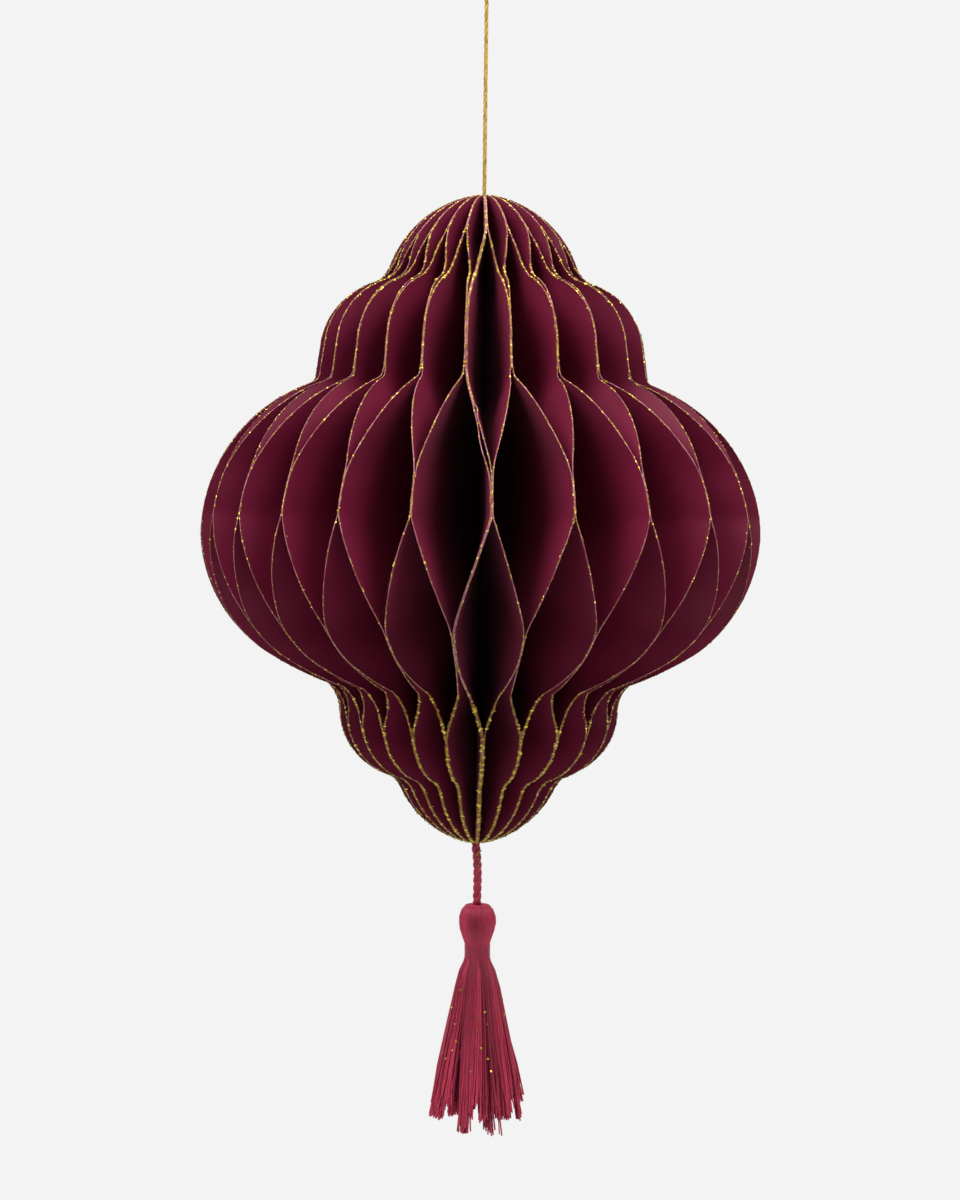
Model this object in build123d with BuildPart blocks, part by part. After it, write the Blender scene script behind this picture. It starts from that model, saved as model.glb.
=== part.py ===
from build123d import *

import os
from math import cos, degrees, pi, radians, sin, tan

# Hanging honeycomb lantern of folded paper leaves, with a cord loop above and a tassel below.
# The origin is under the crown of the hanging loop, where a hook carries it, +Z is up, and the
# seam of the fan faces -Y.

# Die-cut outline of a leaf: radii from the spine, heights and depths from the widest circle
lantern_radius = 60.0
cap_top_height = 73.0
cap_foot_radius = 20.3
cap_foot_height = 57.0
shoulder_top_radius = 23.9
shoulder_top_height = 53.5
shoulder_side_radius = 34.6
shoulder_side_height = 41.5
shoulder_foot_radius = 35.75
shoulder_foot_height = 33.6
bulge_top_radius = 37.0
bulge_top_height = 32.1
bulge_slope_radius = 47.55
bulge_slope_depth = 24.2
bulge_foot_radius = 33.0
bulge_foot_depth = 31.7
base_top_radius = 30.2
base_top_depth = 37.2
base_foot_radius = 19.4
base_foot_depth = 51.7
tip_top_radius = 16.9
tip_top_depth = 54.4
tip_depth = 67.1

# How far each curved stretch swells beyond the chord between its ends, and each neck hollows
cap_swell = 3.8
cap_neck_hollow = 0.48
shoulder_swell = 2.2
upper_bulge_swell = 6.1
lower_bulge_swell = 3.1
base_neck_hollow = 0.61
base_swell = 3.0
tip_swell = 2.7

# Straight cuts that make up each curved stretch
cap_cuts = 4
neck_cuts = 2
shoulder_cuts = 3
upper_bulge_cuts = 5
lower_bulge_cuts = 4
base_cuts = 4
tip_cuts = 4

# Glue bands where a leaf is stuck to its neighbours, measured out at the rim of the fan
cap_glue_height = 78.5
shoulder_glue_height = 38.6
shoulder_glue_band = 0.4
bulge_glue_height = 8.7
bulge_glue_band = 8.5
base_glue_depth = 21.2
base_glue_band = 4.3
tip_glue_depth = 46.2

# Fan of leaves, opened a little wider on the right than on the left, and closed at a seam in
# front where the first and the last leaf lie back to back; a leaf starts just outside the line
# where neighbours of that thickness would meet
leaf_places = 48
paper = 0.18
spine_land = 0.1
fan_bias = 0.155
seam_azimuth = 2.0
seam_gap = 0.06

# Hanging cord, its knot and its loop
cord_diameter = 0.9
cord_anchor_depth = 22.0
cord_free_length = 45.0
knot_diameter = 3.2
knot_height = 4.4
knot_turns = 2
turn_rounding = 0.3
knot_facets = 12
loop_height = 20.0
loop_width = 9.9
crown_width = 8.4
leg_spacing = 1.1
leg_rise = 4.0
belly_rise = 11.0
arc_share = 0.45
loop_facets = 5

# Tassel and its cord
tassel_cord_diameter = 1.75
tassel_cord_anchor = 14.0
tassel_drop = 13.4
head_diameter = 7.7
head_height = 8.5
head_crown = 4.6
head_cuts = 5
neck_diameter = 5.0
band_diameter = 5.6
band_height = 3.4
band_rounding = 0.2
band_clearance = 0.05
band_facets = 24
skirt_length = 37.4
skirt_shoulder_diameter = 10.2
skirt_shoulder_drop = 5.0
skirt_hem_diameter = 20.4
skirt_locks = 18
lock_depth = 0.16
fray_length = 5.4
fray_root = 0.6
fray_unevenness = 0.6
fray_step = 2.4
fray_point = 0.5

# Places along the axis, from the loop down
knot_top = -loop_height
knot_base = knot_top - knot_height
cap_top = knot_base - cord_free_length
equator = cap_top - cap_top_height
tip = equator - tip_depth
head_top = tip - tassel_drop
head_base = head_top - head_height
band_base = head_base - band_height
skirt_hem = band_base - skirt_length

# Panels are drawn this far past the outline before the die cuts them
trim = 1.0
rim_radius = lantern_radius + trim


def leaf_plane_azimuth(place):
    """Azimuth of a glue plane in degrees, from the front towards the right."""
    even = radians(seam_azimuth + place * 360 / leaf_places)
    return degrees(even + fan_bias * (1 - cos(even)))


def curved_cuts(start, end, swell, cuts):
    """Ends of the straight cuts along an arc that swells to its left, without its start."""
    with BuildLine() as curve:
        SagittaArc(start, end, swell)
    return [tuple(curve.line @ (cut / cuts))[:2] for cut in range(1, cuts + 1)]


# The outline of every leaf, from the top of the spine out and down to its foot
cap_top_point = (0, cap_top_height)
cap_foot = (cap_foot_radius, cap_foot_height)
shoulder_top = (shoulder_top_radius, shoulder_top_height)
shoulder_side = (shoulder_side_radius, shoulder_side_height)
shoulder_foot = (shoulder_foot_radius, shoulder_foot_height)
bulge_top = (bulge_top_radius, bulge_top_height)
widest = (lantern_radius, 0)
bulge_slope = (bulge_slope_radius, -bulge_slope_depth)
bulge_foot = (bulge_foot_radius, -bulge_foot_depth)
base_top = (base_top_radius, -base_top_depth)
base_foot = (base_foot_radius, -base_foot_depth)
tip_top = (tip_top_radius, -tip_top_depth)
tip_point = (0, -tip_depth)

outline = [cap_top_point]
outline += curved_cuts(cap_top_point, cap_foot, cap_swell, cap_cuts)
outline += curved_cuts(cap_foot, shoulder_top, -cap_neck_hollow, neck_cuts)
outline += curved_cuts(shoulder_top, shoulder_side, shoulder_swell, shoulder_cuts)
outline += [shoulder_foot, bulge_top]
outline += curved_cuts(bulge_top, widest, upper_bulge_swell, upper_bulge_cuts)
outline += curved_cuts(widest, bulge_slope, lower_bulge_swell, lower_bulge_cuts)
outline += [bulge_foot]
outline += curved_cuts(bulge_foot, base_top, -base_neck_hollow, neck_cuts)
outline += curved_cuts(base_top, base_foot, base_swell, base_cuts)
outline += [tip_top]
outline += curved_cuts(tip_top, tip_point, tip_swell, tip_cuts)

# Edges of the glue bands at the rim, from the top down; a leaf changes sides between them
band_edges = [
    max(cap_top_height, cap_glue_height) + trim,
    cap_glue_height,
    shoulder_glue_height + shoulder_glue_band / 2,
    shoulder_glue_height - shoulder_glue_band / 2,
    bulge_glue_height + bulge_glue_band / 2,
    bulge_glue_height - bulge_glue_band / 2,
    -base_glue_depth + base_glue_band / 2,
    -base_glue_depth - base_glue_band / 2,
    -tip_glue_depth,
    -tip_depth - trim,
]
band_sides = [1, 1, -1, -1, 1, 1, -1, -1, 1, 1]


def fold_line(radius, spine, reach):
    """Folded line of a leaf at one radius, as pairs of across and height from the top down."""
    share = (radius - spine) / (rim_radius - spine)
    heights = [band_edges[0]]
    for upper, lower in zip(band_edges[1:-1:2], band_edges[2:-1:2]):
        middle = (upper + lower) / 2
        heights.append(middle + (upper - middle) * share)
        heights.append(middle + (lower - middle) * share)
    heights.append(band_edges[-1])
    return [(turn * reach, height) for turn, height in zip(band_sides, heights)]


def make_leaf(label, place, near, far):
    """One paper leaf between two glue planes, its faces near and far from mid-paper."""
    start = leaf_plane_azimuth(place)
    end = leaf_plane_azimuth(place + 1)
    azimuth = radians((start + end) / 2)
    half_angle = radians((end - start) / 2)
    side = -1 if place % 2 == 0 else 1
    spine = max(abs(near), abs(far)) / sin(half_angle)
    radial = Vector(sin(azimuth), -cos(azimuth), 0)
    tangent = Vector(cos(azimuth), sin(azimuth), 0)
    center = Vector(0, 0, equator)
    lines = []
    for radius in (spine + spine_land, rim_radius):
        reach = side * (radius - spine) * tan(half_angle)
        line = fold_line(radius, spine, reach)
        lift = near / cos(half_angle)
        lines.append(
            [
                center + radial * radius + tangent * (across + lift) + Vector(0, 0, height)
                for across, height in line
            ]
        )
    with BuildPart() as leaf:
        for panel in range(len(band_sides) - 1):
            top_spine, foot_spine = lines[0][panel], lines[0][panel + 1]
            top_rim, foot_rim = lines[1][panel], lines[1][panel + 1]
            slope = Plane(
                top_spine,
                x_dir=top_rim - top_spine,
                z_dir=(top_rim - top_spine).cross(foot_rim - top_spine),
            )
            with BuildSketch(slope):
                with BuildLine():
                    Polyline(
                        *[
                            slope.to_local_coords(corner)
                            for corner in (top_spine, top_rim, foot_rim, foot_spine)
                        ],
                        close=True,
                    )
                make_face()
        extrude(amount=(far - near) / cos(half_angle), dir=tangent)
        with BuildSketch(Plane(center, x_dir=radial, z_dir=-tangent)):
            with BuildLine():
                Polyline(*outline, close=True)
            make_face()
        extrude(amount=rim_radius, both=True, mode=Mode.INTERSECT)
    leaf.part.label = label
    return leaf.part


def round_section(diameter, height, corners, hollow=0):
    """Corners of a level section, every second one drawn in by a share of the radius."""
    section = []
    for step in range(corners):
        angle = 2 * pi * step / corners
        radius = diameter / 2 * (1 - hollow * (step % 2))
        section.append(Vector(radius * cos(angle), radius * sin(angle), height))
    return section


def flat_loft(sections):
    """Solid of flat faces through sections with the same corners, one above the other."""
    faces = [Face(Wire.make_polygon(section)) for section in (sections[0], sections[-1])]
    for first, second in zip(sections, sections[1:]):
        for corner in range(len(first)):
            quad = [first[corner - 1], first[corner], second[corner], second[corner - 1]]
            faces.append(Face(Wire.make_polygon(quad)))
    return Solid(Shell(faces))


os.makedirs("parts", exist_ok=True)

# The two covers of the closed fan lie back to back in the place before the first glue plane
cover_face = seam_gap / 2 + paper
first_cover = make_leaf("leaf_01", -1, seam_gap / 2, cover_face)
last_cover = make_leaf(f"leaf_{leaf_places + 1:02d}", -1, -cover_face, -seam_gap / 2)
leaves = [first_cover, last_cover]
for place in range(leaf_places - 1):
    leaves.append(make_leaf(f"leaf_{place + 2:02d}", place, -paper / 2, paper / 2))
for leaf in leaves:
    export_step(leaf, f"parts/{leaf.label}.step")

# Hanging cord, glued into the channel between the spines and pulled straight by the weight
with BuildPart() as hanging_cord:
    with BuildSketch(Plane.XY.offset(cap_top - cord_anchor_depth)):
        Circle(cord_diameter / 2)
    extrude(amount=knot_base - cap_top + cord_anchor_depth)
hanging_cord.part.label = "hanging_cord"
export_step(hanging_cord.part, "parts/hanging_cord.step")

# Knot that closes the loop: turns pulled tight, flat where the cords enter
knot_flat = leg_spacing + cord_diameter
knot_turn_height = knot_height / knot_turns
knot_girths = [(knot_flat, knot_base)]
for turn in range(knot_turns):
    foot = knot_base + turn * knot_turn_height
    knot_girths += [
        (knot_diameter, foot + knot_turn_height * turn_rounding),
        (knot_diameter, foot + knot_turn_height * (1 - turn_rounding)),
        (knot_flat, foot + knot_turn_height),
    ]
with BuildPart() as loop_knot:
    add(flat_loft([round_section(*girth, knot_facets) for girth in knot_girths]))
loop_knot.part.label = "loop_knot"
export_step(loop_knot.part, "parts/loop_knot.step")

# Loop of the same cord, from one leg out of the knot, over the top and back to the other
loop_route = [
    (-leg_spacing / 2, knot_top),
    (-leg_spacing / 2, knot_top + leg_rise),
    (-loop_width / 2, knot_top + belly_rise),
    (-crown_width / 2, cord_diameter / 2),
    (crown_width / 2, cord_diameter / 2),
    (loop_width / 2, knot_top + belly_rise),
    (leg_spacing / 2, knot_top + leg_rise),
    (leg_spacing / 2, knot_top),
]


def corner_radii(route):
    """Largest arcs that the runs beside each corner of a route leave room for."""
    radii = []
    for before, corner, after in zip(route, route[1:], route[2:]):
        arriving = Vector(*corner) - Vector(*before)
        leaving = Vector(*after) - Vector(*corner)
        turn = radians(arriving.get_angle(leaving))
        radii.append(arc_share * min(arriving.length, leaving.length) / tan(turn / 2))
    return radii


loop_radii = corner_radii(loop_route)
print("loop radii", [round(radius, 2) for radius in loop_radii])
with BuildPart() as hanging_loop:
    with BuildLine(Plane.XZ) as loop_path:
        FilletPolyline(*loop_route, radius=loop_radii)
    with BuildSketch(Plane(loop_path.line @ 0, z_dir=loop_path.line % 0)):
        RegularPolygon(cord_diameter / 2, loop_facets)
    sweep(path=loop_path.line)
hanging_loop.part.label = "hanging_loop"
export_step(hanging_loop.part, "parts/hanging_loop.step")

# Tassel cord, glued into the foot of the same channel
with BuildPart() as tassel_cord:
    with BuildSketch(Plane.XY.offset(head_top)):
        Circle(tassel_cord_diameter / 2)
    extrude(amount=tassel_drop + tassel_cord_anchor)
tassel_cord.part.label = "tassel_cord"
export_step(tassel_cord.part, "parts/tassel_cord.step")

# Bundle of threads, folded over the cord: the head, the bound neck and the flaring skirt
fray_top = skirt_hem + fray_length
head_swell = head_diameter / 2 - (head_crown + neck_diameter) / 4
head_shoulder = (head_crown / 2, head_top)
head_foot = (neck_diameter / 2, head_base)
girths = [head_shoulder]
girths += curved_cuts(head_shoulder, head_foot, head_swell, head_cuts)
girths += [
    (neck_diameter / 2, band_base),
    (skirt_shoulder_diameter / 2, band_base - skirt_shoulder_drop),
    (skirt_hem_diameter / 2, fray_top),
]
bundle = [
    round_section(2 * radius, height, 2 * skirt_locks, lock_depth) for radius, height in girths
]
hem = bundle[-1]
with BuildPart() as tassel_threads:
    add(flat_loft(bundle))
    for lock in range(skirt_locks):
        heart = Vector(hem[2 * lock].X * fray_root, hem[2 * lock].Y * fray_root, fray_top)
        root = [hem[2 * lock - 1], hem[2 * lock], hem[2 * lock + 1], heart]
        middle = (hem[2 * lock] + heart) / 2
        drop = Vector(0, 0, -fray_length * (1 - fray_unevenness * abs(sin(fray_step * lock))))
        point = [middle + (corner - middle) * fray_point + drop for corner in root]
        add(flat_loft([root, point]))
tassel_threads.part.label = "tassel_threads"
export_step(tassel_threads.part, "parts/tassel_threads.step")

# Thread wound round the neck, as a sleeve with rounded rims
band_rim = band_diameter - 2 * band_rounding
band_girths = [
    (band_rim, band_base),
    (band_diameter, band_base + band_rounding),
    (band_diameter, head_base - band_rounding),
    (band_rim, head_base),
]
with BuildPart() as tassel_band:
    add(flat_loft([round_section(*girth, band_facets) for girth in band_girths]))
    with BuildSketch(Plane.XY.offset(band_base)):
        RegularPolygon(neck_diameter / 2 + band_clearance, band_facets, major_radius=False)
    extrude(amount=band_height, mode=Mode.SUBTRACT)
tassel_band.part.label = "tassel_band"
export_step(tassel_band.part, "parts/tassel_band.step")
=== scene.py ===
"""Dresses the hanging honeycomb ornament: folded leaves, gilded edges, cords and tassel."""

import logging
import math
from dataclasses import dataclass, replace
from enum import Enum

import bpy
import numpy as np
from mathutils import Matrix, Vector


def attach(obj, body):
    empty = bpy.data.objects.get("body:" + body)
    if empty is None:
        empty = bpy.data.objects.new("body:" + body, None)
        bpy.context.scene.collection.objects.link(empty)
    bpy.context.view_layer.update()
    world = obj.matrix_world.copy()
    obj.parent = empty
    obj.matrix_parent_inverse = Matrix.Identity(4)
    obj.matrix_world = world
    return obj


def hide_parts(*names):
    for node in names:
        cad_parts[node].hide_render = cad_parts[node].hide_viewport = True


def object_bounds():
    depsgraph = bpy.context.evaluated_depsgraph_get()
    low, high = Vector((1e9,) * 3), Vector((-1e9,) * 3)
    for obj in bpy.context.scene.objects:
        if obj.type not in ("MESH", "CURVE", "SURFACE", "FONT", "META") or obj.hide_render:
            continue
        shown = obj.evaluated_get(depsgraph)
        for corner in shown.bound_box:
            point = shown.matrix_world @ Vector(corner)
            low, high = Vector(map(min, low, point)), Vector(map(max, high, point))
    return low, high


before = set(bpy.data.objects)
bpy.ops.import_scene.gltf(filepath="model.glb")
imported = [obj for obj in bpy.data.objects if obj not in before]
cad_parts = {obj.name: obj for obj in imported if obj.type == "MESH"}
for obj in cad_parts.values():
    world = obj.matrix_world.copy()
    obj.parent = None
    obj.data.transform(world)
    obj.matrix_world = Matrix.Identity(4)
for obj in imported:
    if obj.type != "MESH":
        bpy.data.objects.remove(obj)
cad_low, cad_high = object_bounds()

MM = 0.001
TONE_LAYER = "tone"
WIND_LAYER = "wind"
LOG = logging.getLogger("ornament")

Array = np.ndarray
Random = np.random.Generator
Color = tuple[float, float, float]
Point = tuple[float, float, float]
Range = tuple[float, float]
Inputs = dict[str | int, object]
Material = bpy.types.Material
Piece = bpy.types.Object
Socket = bpy.types.NodeSocket


class EdgeCoat(Enum):
    """How much of a leaf's edge still carries its gold glitter."""

    GILDED = 1.0
    WORN = 0.55


def select_nothing() -> None:
    """Deselects everything, so that an operator acts on the new piece alone."""
    bpy.ops.object.select_all(action="DESELECT")


def select_only(piece: Piece) -> None:
    """Deselects everything and makes one piece selected and active.

    Args:
        piece: The piece to select.
    """
    select_nothing()
    piece.select_set(True)
    bpy.context.view_layer.objects.active = piece


def join_pieces(carrier: Piece, guest: Piece) -> None:
    """Makes a second mesh part of the first one.

    Args:
        carrier: The piece that stays.
        guest: The piece that becomes a part of it.
    """
    select_only(carrier)
    guest.select_set(True)
    bpy.ops.object.join()


def add_object(name: str, data: bpy.types.ID) -> Piece:
    """Puts a mesh, curve, light or camera into the scene as an object.

    Args:
        name: Name of the new object.
        data: Its mesh, curve, light or camera.

    Returns:
        The new object.
    """
    piece = bpy.data.objects.new(name, data)
    bpy.context.scene.collection.objects.link(piece)
    return piece


def mesh_piece(name: str, points: Array, faces: list[list[int]]) -> Piece:
    """Makes a smooth-shaded mesh object at the origin.

    Args:
        name: Name of the new object.
        points: Corners in metres, one row each.
        faces: Corner numbers of each face.

    Returns:
        The new object, linked to the scene.
    """
    mesh = bpy.data.meshes.new(name)
    mesh.from_pydata(points.tolist(), [], faces)
    mesh.shade_smooth()
    return add_object(name, mesh)


def read_corners(mesh: bpy.types.Mesh) -> Array:
    """Reads the corners of a mesh, one row of coordinates each.

    Args:
        mesh: The mesh to read.

    Returns:
        The corners in metres.
    """
    flat = np.empty(len(mesh.vertices) * 3, np.float32)
    mesh.vertices.foreach_get("co", flat)
    return flat.reshape(-1, 3)


def set_tone(piece: Piece, tones: Array) -> None:
    """Stores a shade for each corner of a mesh, from 0, dark, to 1, light."""
    layer = piece.data.attributes.new(TONE_LAYER, "FLOAT", "POINT")
    layer.data.foreach_set("value", tones.astype(np.float32))


def dress(piece: Piece, *materials: Material, gilded: bool = False) -> None:
    """Gives a piece its materials, and shows the first one, or on gilded pieces the last, which is gold.

    Args:
        piece: The piece to dress.
        materials: Its materials, in the order of their slots.
        gilded: Whether it shows the last one.
    """
    for material in materials:
        piece.data.materials.append(material)
    shown = len(materials) - 1 if gilded else 0
    faces = piece.data.polygons
    faces.foreach_set("material_index", np.full(len(faces), shown, np.int32))


def mount(piece: Piece, slot: str, *nodes: str) -> None:
    """Fixes a piece to the ornament in place of its plain solids.

    Args:
        piece: The finished piece.
        slot: Material slot of the record; it is not used.
        nodes: The solids that it stands for.
    """
    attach(piece, "root")
    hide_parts(*nodes)
    LOG.info("%s: %d faces", piece.name, len(piece.data.polygons))


class NodeGraph:
    """Node tree of a procedural material, or of the world."""

    def __init__(self, owner: Material | bpy.types.World) -> None:
        """Turns on the nodes of a material or of the world.

        Args:
            owner: The material or the world.
        """
        owner.use_nodes = True
        self.owner = owner
        self.nodes = owner.node_tree.nodes
        self.links = owner.node_tree.links

    def feed(self, node: bpy.types.Node, inputs: Inputs) -> None:
        """Sets a node's inputs, each to a constant or to the socket that feeds it.

        Args:
            node: The node.
            inputs: Constant or socket for each input's name or number.
        """
        for name, value in inputs.items():
            if isinstance(value, Socket):
                self.links.new(value, node.inputs[name])
            else:
                node.inputs[name].default_value = value

    def add(self, kind: str, inputs: Inputs) -> bpy.types.Node:
        """Adds a node and sets its inputs.

        Args:
            kind: Kind of the node, such as Bump.
            inputs: Constant or socket for each input's name or number.

        Returns:
            The new node.
        """
        node = self.nodes.new(f"ShaderNode{kind}")
        self.feed(node, inputs)
        return node

    def set(self, **values: object) -> None:
        """Sets inputs of the surface shader, their names in lower case.

        Args:
            values: Constant or socket for each input.
        """
        surface = self.nodes["Principled BSDF"]
        names = {socket.name.lower().replace(" ", "_"): socket.name for socket in surface.inputs}
        self.feed(surface, {names[name]: value for name, value in values.items()})

    def place(self, stretch: Point = (1, 1, 1)) -> Socket:
        """Gives object coordinates, stretched along the axes."""
        place = self.nodes.new("ShaderNodeTexCoord").outputs["Object"]
        return self.add("Mapping", {"Vector": place, "Scale": stretch}).outputs["Vector"]

    def wind(self, stretch: Point) -> Socket:
        """Gives the coordinates around and along a yarn's plies, stretched.

        Args:
            stretch: Factors around and along the plies.

        Returns:
            The coordinates.
        """
        source = self.nodes.new("ShaderNodeUVMap")
        source.uv_map = WIND_LAYER
        return self.add("Mapping", {"Vector": source.outputs["UV"], "Scale": stretch}).outputs["Vector"]

    def tone(self) -> Socket:
        """Gives the shade stored on the mesh.

        Returns:
            The shade, from 0 to 1.
        """
        source = self.nodes.new("ShaderNodeAttribute")
        source.attribute_name = TONE_LAYER
        return source.outputs["Fac"]

    def noise(self, place: Socket, scale: float, detail: float) -> Socket:
        """Gives soft noise at a scale in features for each metre."""
        return self.add("TexNoise", {"Vector": place, "Scale": scale, "Detail": detail}).outputs["Fac"]

    def math(self, operation: str, *values: float | Socket) -> Socket:
        """Reckons with numbers and sockets.

        Args:
            operation: What is done with the values.
            values: Numbers and sockets.

        Returns:
            The result.
        """
        node = self.add("Math", dict(enumerate(values)))
        node.operation = operation
        return node.outputs[0]

    def combine(self, first: Socket, second: Socket, share: float) -> Socket:
        """Adds a share of a second pattern, centred on its middle, to a first one."""
        return self.math("ADD", first, self.math("MULTIPLY_ADD", second, share, -share / 2))

    def paint(self, pattern: Socket, limits: Range, dark: Color, light: Color) -> None:
        """Paints the surface with a run of colour.

        Args:
            pattern: The pattern that the colour follows.
            limits: Values of the pattern that give the dark and the light colour.
            dark: Colour of the low end.
            light: Colour of the high end.
        """
        ramp = self.add("ValToRGB", {"Fac": pattern})
        for stop, position, color in zip(ramp.color_ramp.elements, limits, (dark, light)):
            stop.position, stop.color = position, (*color, 1)
        self.set(base_color=ramp.outputs["Color"])

    def roughen(self, pattern: Socket, low: float, high: float | None = None) -> None:
        """Sets the roughness, or lets a pattern vary it between two limits.

        Args:
            pattern: The pattern.
            low: The roughness, or its lower limit.
            high: Its upper limit, or None where it is the same all over.
        """
        if high is None:
            self.set(roughness=low)
        else:
            node = self.add("MapRange", {"Value": pattern, "To Min": low, "To Max": high})
            self.set(roughness=node.outputs["Result"])

    def bump(self, height: Socket, strength: float, distance: float) -> None:
        """Raises the surface by a pattern, at most by a distance in metres."""
        node = self.add("Bump", {"Height": height, "Strength": strength, "Distance": distance})
        self.set(normal=node.outputs["Normal"])


class Ground(Enum):
    """What the colour of a finish follows.

    Clouds and the stored tone are broken up by the grain. The other two are the grain alone, which in a
    winding follows the plies of a yarn.
    """

    CLOUDS = "clouds"
    TONE = "tone"
    GRAIN = "grain"
    WINDING = "winding"


@dataclass(frozen=True)
class Finish:
    """Look of a material: a run of colour, broken up by a fine grain.

    The limits are the values of the pattern that give the dark and the light colour. The grain varies
    the roughness, if that has two values, and its relief has a strength and a height.
    """

    name: str
    dark: Color
    light: Color
    limits: Range
    roughness: tuple[float, ...]
    ground: Ground
    grain_scale: float
    grain_detail: float = 2.0
    grain_stretch: Point = (1, 1, 1)
    grain_share: float = 0.5
    relief: Range = (0.0, 0.0)
    cloud_scale: float = 45.0
    cloud_detail: float = 3.0
    metallic: float = 0.0
    gloss: float = 0.5
    sheen: float = 0.0
    sheen_tint: Color = (1.0, 1.0, 1.0)

    def material(self) -> Material:
        """Builds the material.

        Returns:
            The new material.
        """
        graph = NodeGraph(bpy.data.materials.new(self.name))
        place = graph.wind if self.ground is Ground.WINDING else graph.place
        pattern = grain = graph.noise(place(self.grain_stretch), self.grain_scale, self.grain_detail)
        if self.ground is Ground.CLOUDS:
            clouds = graph.noise(graph.place(), self.cloud_scale, self.cloud_detail)
            pattern = graph.combine(clouds, grain, self.grain_share)
        elif self.ground is Ground.TONE:
            pattern = graph.combine(graph.tone(), grain, self.grain_share)
        graph.paint(pattern, self.limits, self.dark, self.light)
        graph.roughen(grain, *self.roughness)
        graph.set(metallic=self.metallic, specular_ior_level=self.gloss)
        graph.set(sheen_weight=self.sheen, sheen_tint=(*self.sheen_tint, 1))
        if any(self.relief):
            graph.bump(grain, *self.relief)
        return graph.owner


PAPER = Finish(
    "leaf_paper",
    dark=(0.115, 0.003, 0.021),
    light=(0.165, 0.006, 0.034),
    limits=(0.25, 0.75),
    roughness=(0.5, 0.66),
    ground=Ground.CLOUDS,
    grain_scale=2600.0,
    grain_stretch=(1, 1, 0.35),
    relief=(0.35, 0.02 * MM),
    gloss=0.2,
    sheen=0.03,
    sheen_tint=(0.9, 0.55, 0.68),
)
CUT_EDGE = Finish(
    "leaf_cut_edge",
    dark=(0.21, 0.027, 0.063),
    light=(0.4, 0.15, 0.215),
    limits=(0.4, 0.64),
    roughness=(0.7,),
    ground=Ground.GRAIN,
    grain_scale=420.0,
    grain_detail=3.0,
)
GLITTER = Finish(
    "gold_glitter",
    dark=(0.18, 0.092, 0.003),
    light=(0.72, 0.575, 0.09),
    limits=(0.05, 0.9),
    roughness=(0.22, 0.47),
    ground=Ground.TONE,
    grain_scale=5200.0,
    grain_share=0.3,
    metallic=0.9,
)
METAL_YARN = Finish(
    "gold_yarn",
    dark=(0.2, 0.12, 0.011),
    light=(0.43, 0.275, 0.032),
    limits=(0.36, 0.56),
    roughness=(0.65, 0.4),
    ground=Ground.WINDING,
    grain_scale=1.0,
    grain_stretch=(4.0, 420.0, 1.0),
    relief=(0.6, 0.04 * MM),
    metallic=0.35,
)
SILK = Finish(
    "tassel_silk",
    dark=(0.14, 0.0045, 0.02),
    light=(0.4, 0.029, 0.067),
    limits=(0.05, 0.95),
    roughness=(0.45, 0.65),
    ground=Ground.TONE,
    grain_scale=2400.0,
    grain_stretch=(1.0, 1.0, 0.06),
    relief=(0.5, 0.03 * MM),
    gloss=0.25,
    sheen=0.06,
    sheen_tint=(1.0, 0.6, 0.68),
)


def unit(rows: Array) -> Array:
    """Scales each row to length 1."""
    return rows / np.linalg.norm(rows, axis=1, keepdims=True)


def run_length(line: Array) -> Array:
    """Gives the distance of each point of a line from its start, along the line."""
    return np.concatenate(((0,), np.cumsum(np.linalg.norm(np.diff(line, axis=0), axis=1))))


def scatter_grains(name: str, center: Array, axes: tuple[Array, Array, Array], shade: Array) -> Piece:
    """Makes pointed grains, each from its middle and three half axes.

    Args:
        name: Name of the new object.
        center: Middle of each grain, one row each.
        axes: The half axes, each with one row for each grain.
        shade: Shade of each grain, from 0, dark, to 1, light.

    Returns:
        The grains as one flat-shaded object.
    """
    corners = np.stack([center + sign * axis for axis in axes for sign in (1, -1)], axis=1)
    tips = corners.shape[1]
    upper = ((0, 2, 4), (2, 1, 4), (1, 3, 4), (3, 0, 4))
    lower = ((2, 0, 5), (1, 2, 5), (3, 1, 5), (0, 3, 5))
    faces = np.array(upper + lower)[None] + tips * np.arange(len(center))[:, None, None]
    grains = mesh_piece(name, corners.reshape(-1, 3), faces.reshape(-1, 3).tolist())
    grains.data.shade_flat()
    set_tone(grains, np.repeat(shade, tips))
    return grains


def smooth_line(points: list[Point], steps: int, closed: bool = False) -> Array:
    """Reads points from the smooth spline of a cord's route.

    Args:
        points: The route's control points, in metres.
        steps: Points for each stretch between control points.
        closed: Whether the line goes back to its start.

    Returns:
        One row of coordinates for each point along the spline.
    """
    data = bpy.data.curves.new("route", "CURVE")
    data.dimensions = "3D"
    data.resolution_u = steps
    spline = add_spline(data, points)
    spline.use_cyclic_u = closed
    spline.use_endpoint_u = not closed
    route = add_object("route", data)
    bpy.context.view_layer.update()
    mesh = bpy.data.meshes.new_from_object(route)
    line = read_corners(mesh).astype(float)
    bpy.data.objects.remove(route)
    bpy.data.curves.remove(data)
    bpy.data.meshes.remove(mesh)
    return line


def add_spline(data: bpy.types.Curve, points: list[Point]) -> bpy.types.Spline:
    """Adds an open smooth spline with the given control points to a curve.

    Args:
        data: The curve.
        points: Control points in metres.

    Returns:
        The new spline.
    """
    spline = data.splines.new("NURBS")
    spline.points.add(len(points) - 1)
    for control, point in zip(spline.points, points):
        control.co = (*point, 1)
    spline.order_u = 3
    spline.use_endpoint_u = True
    return spline


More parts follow.
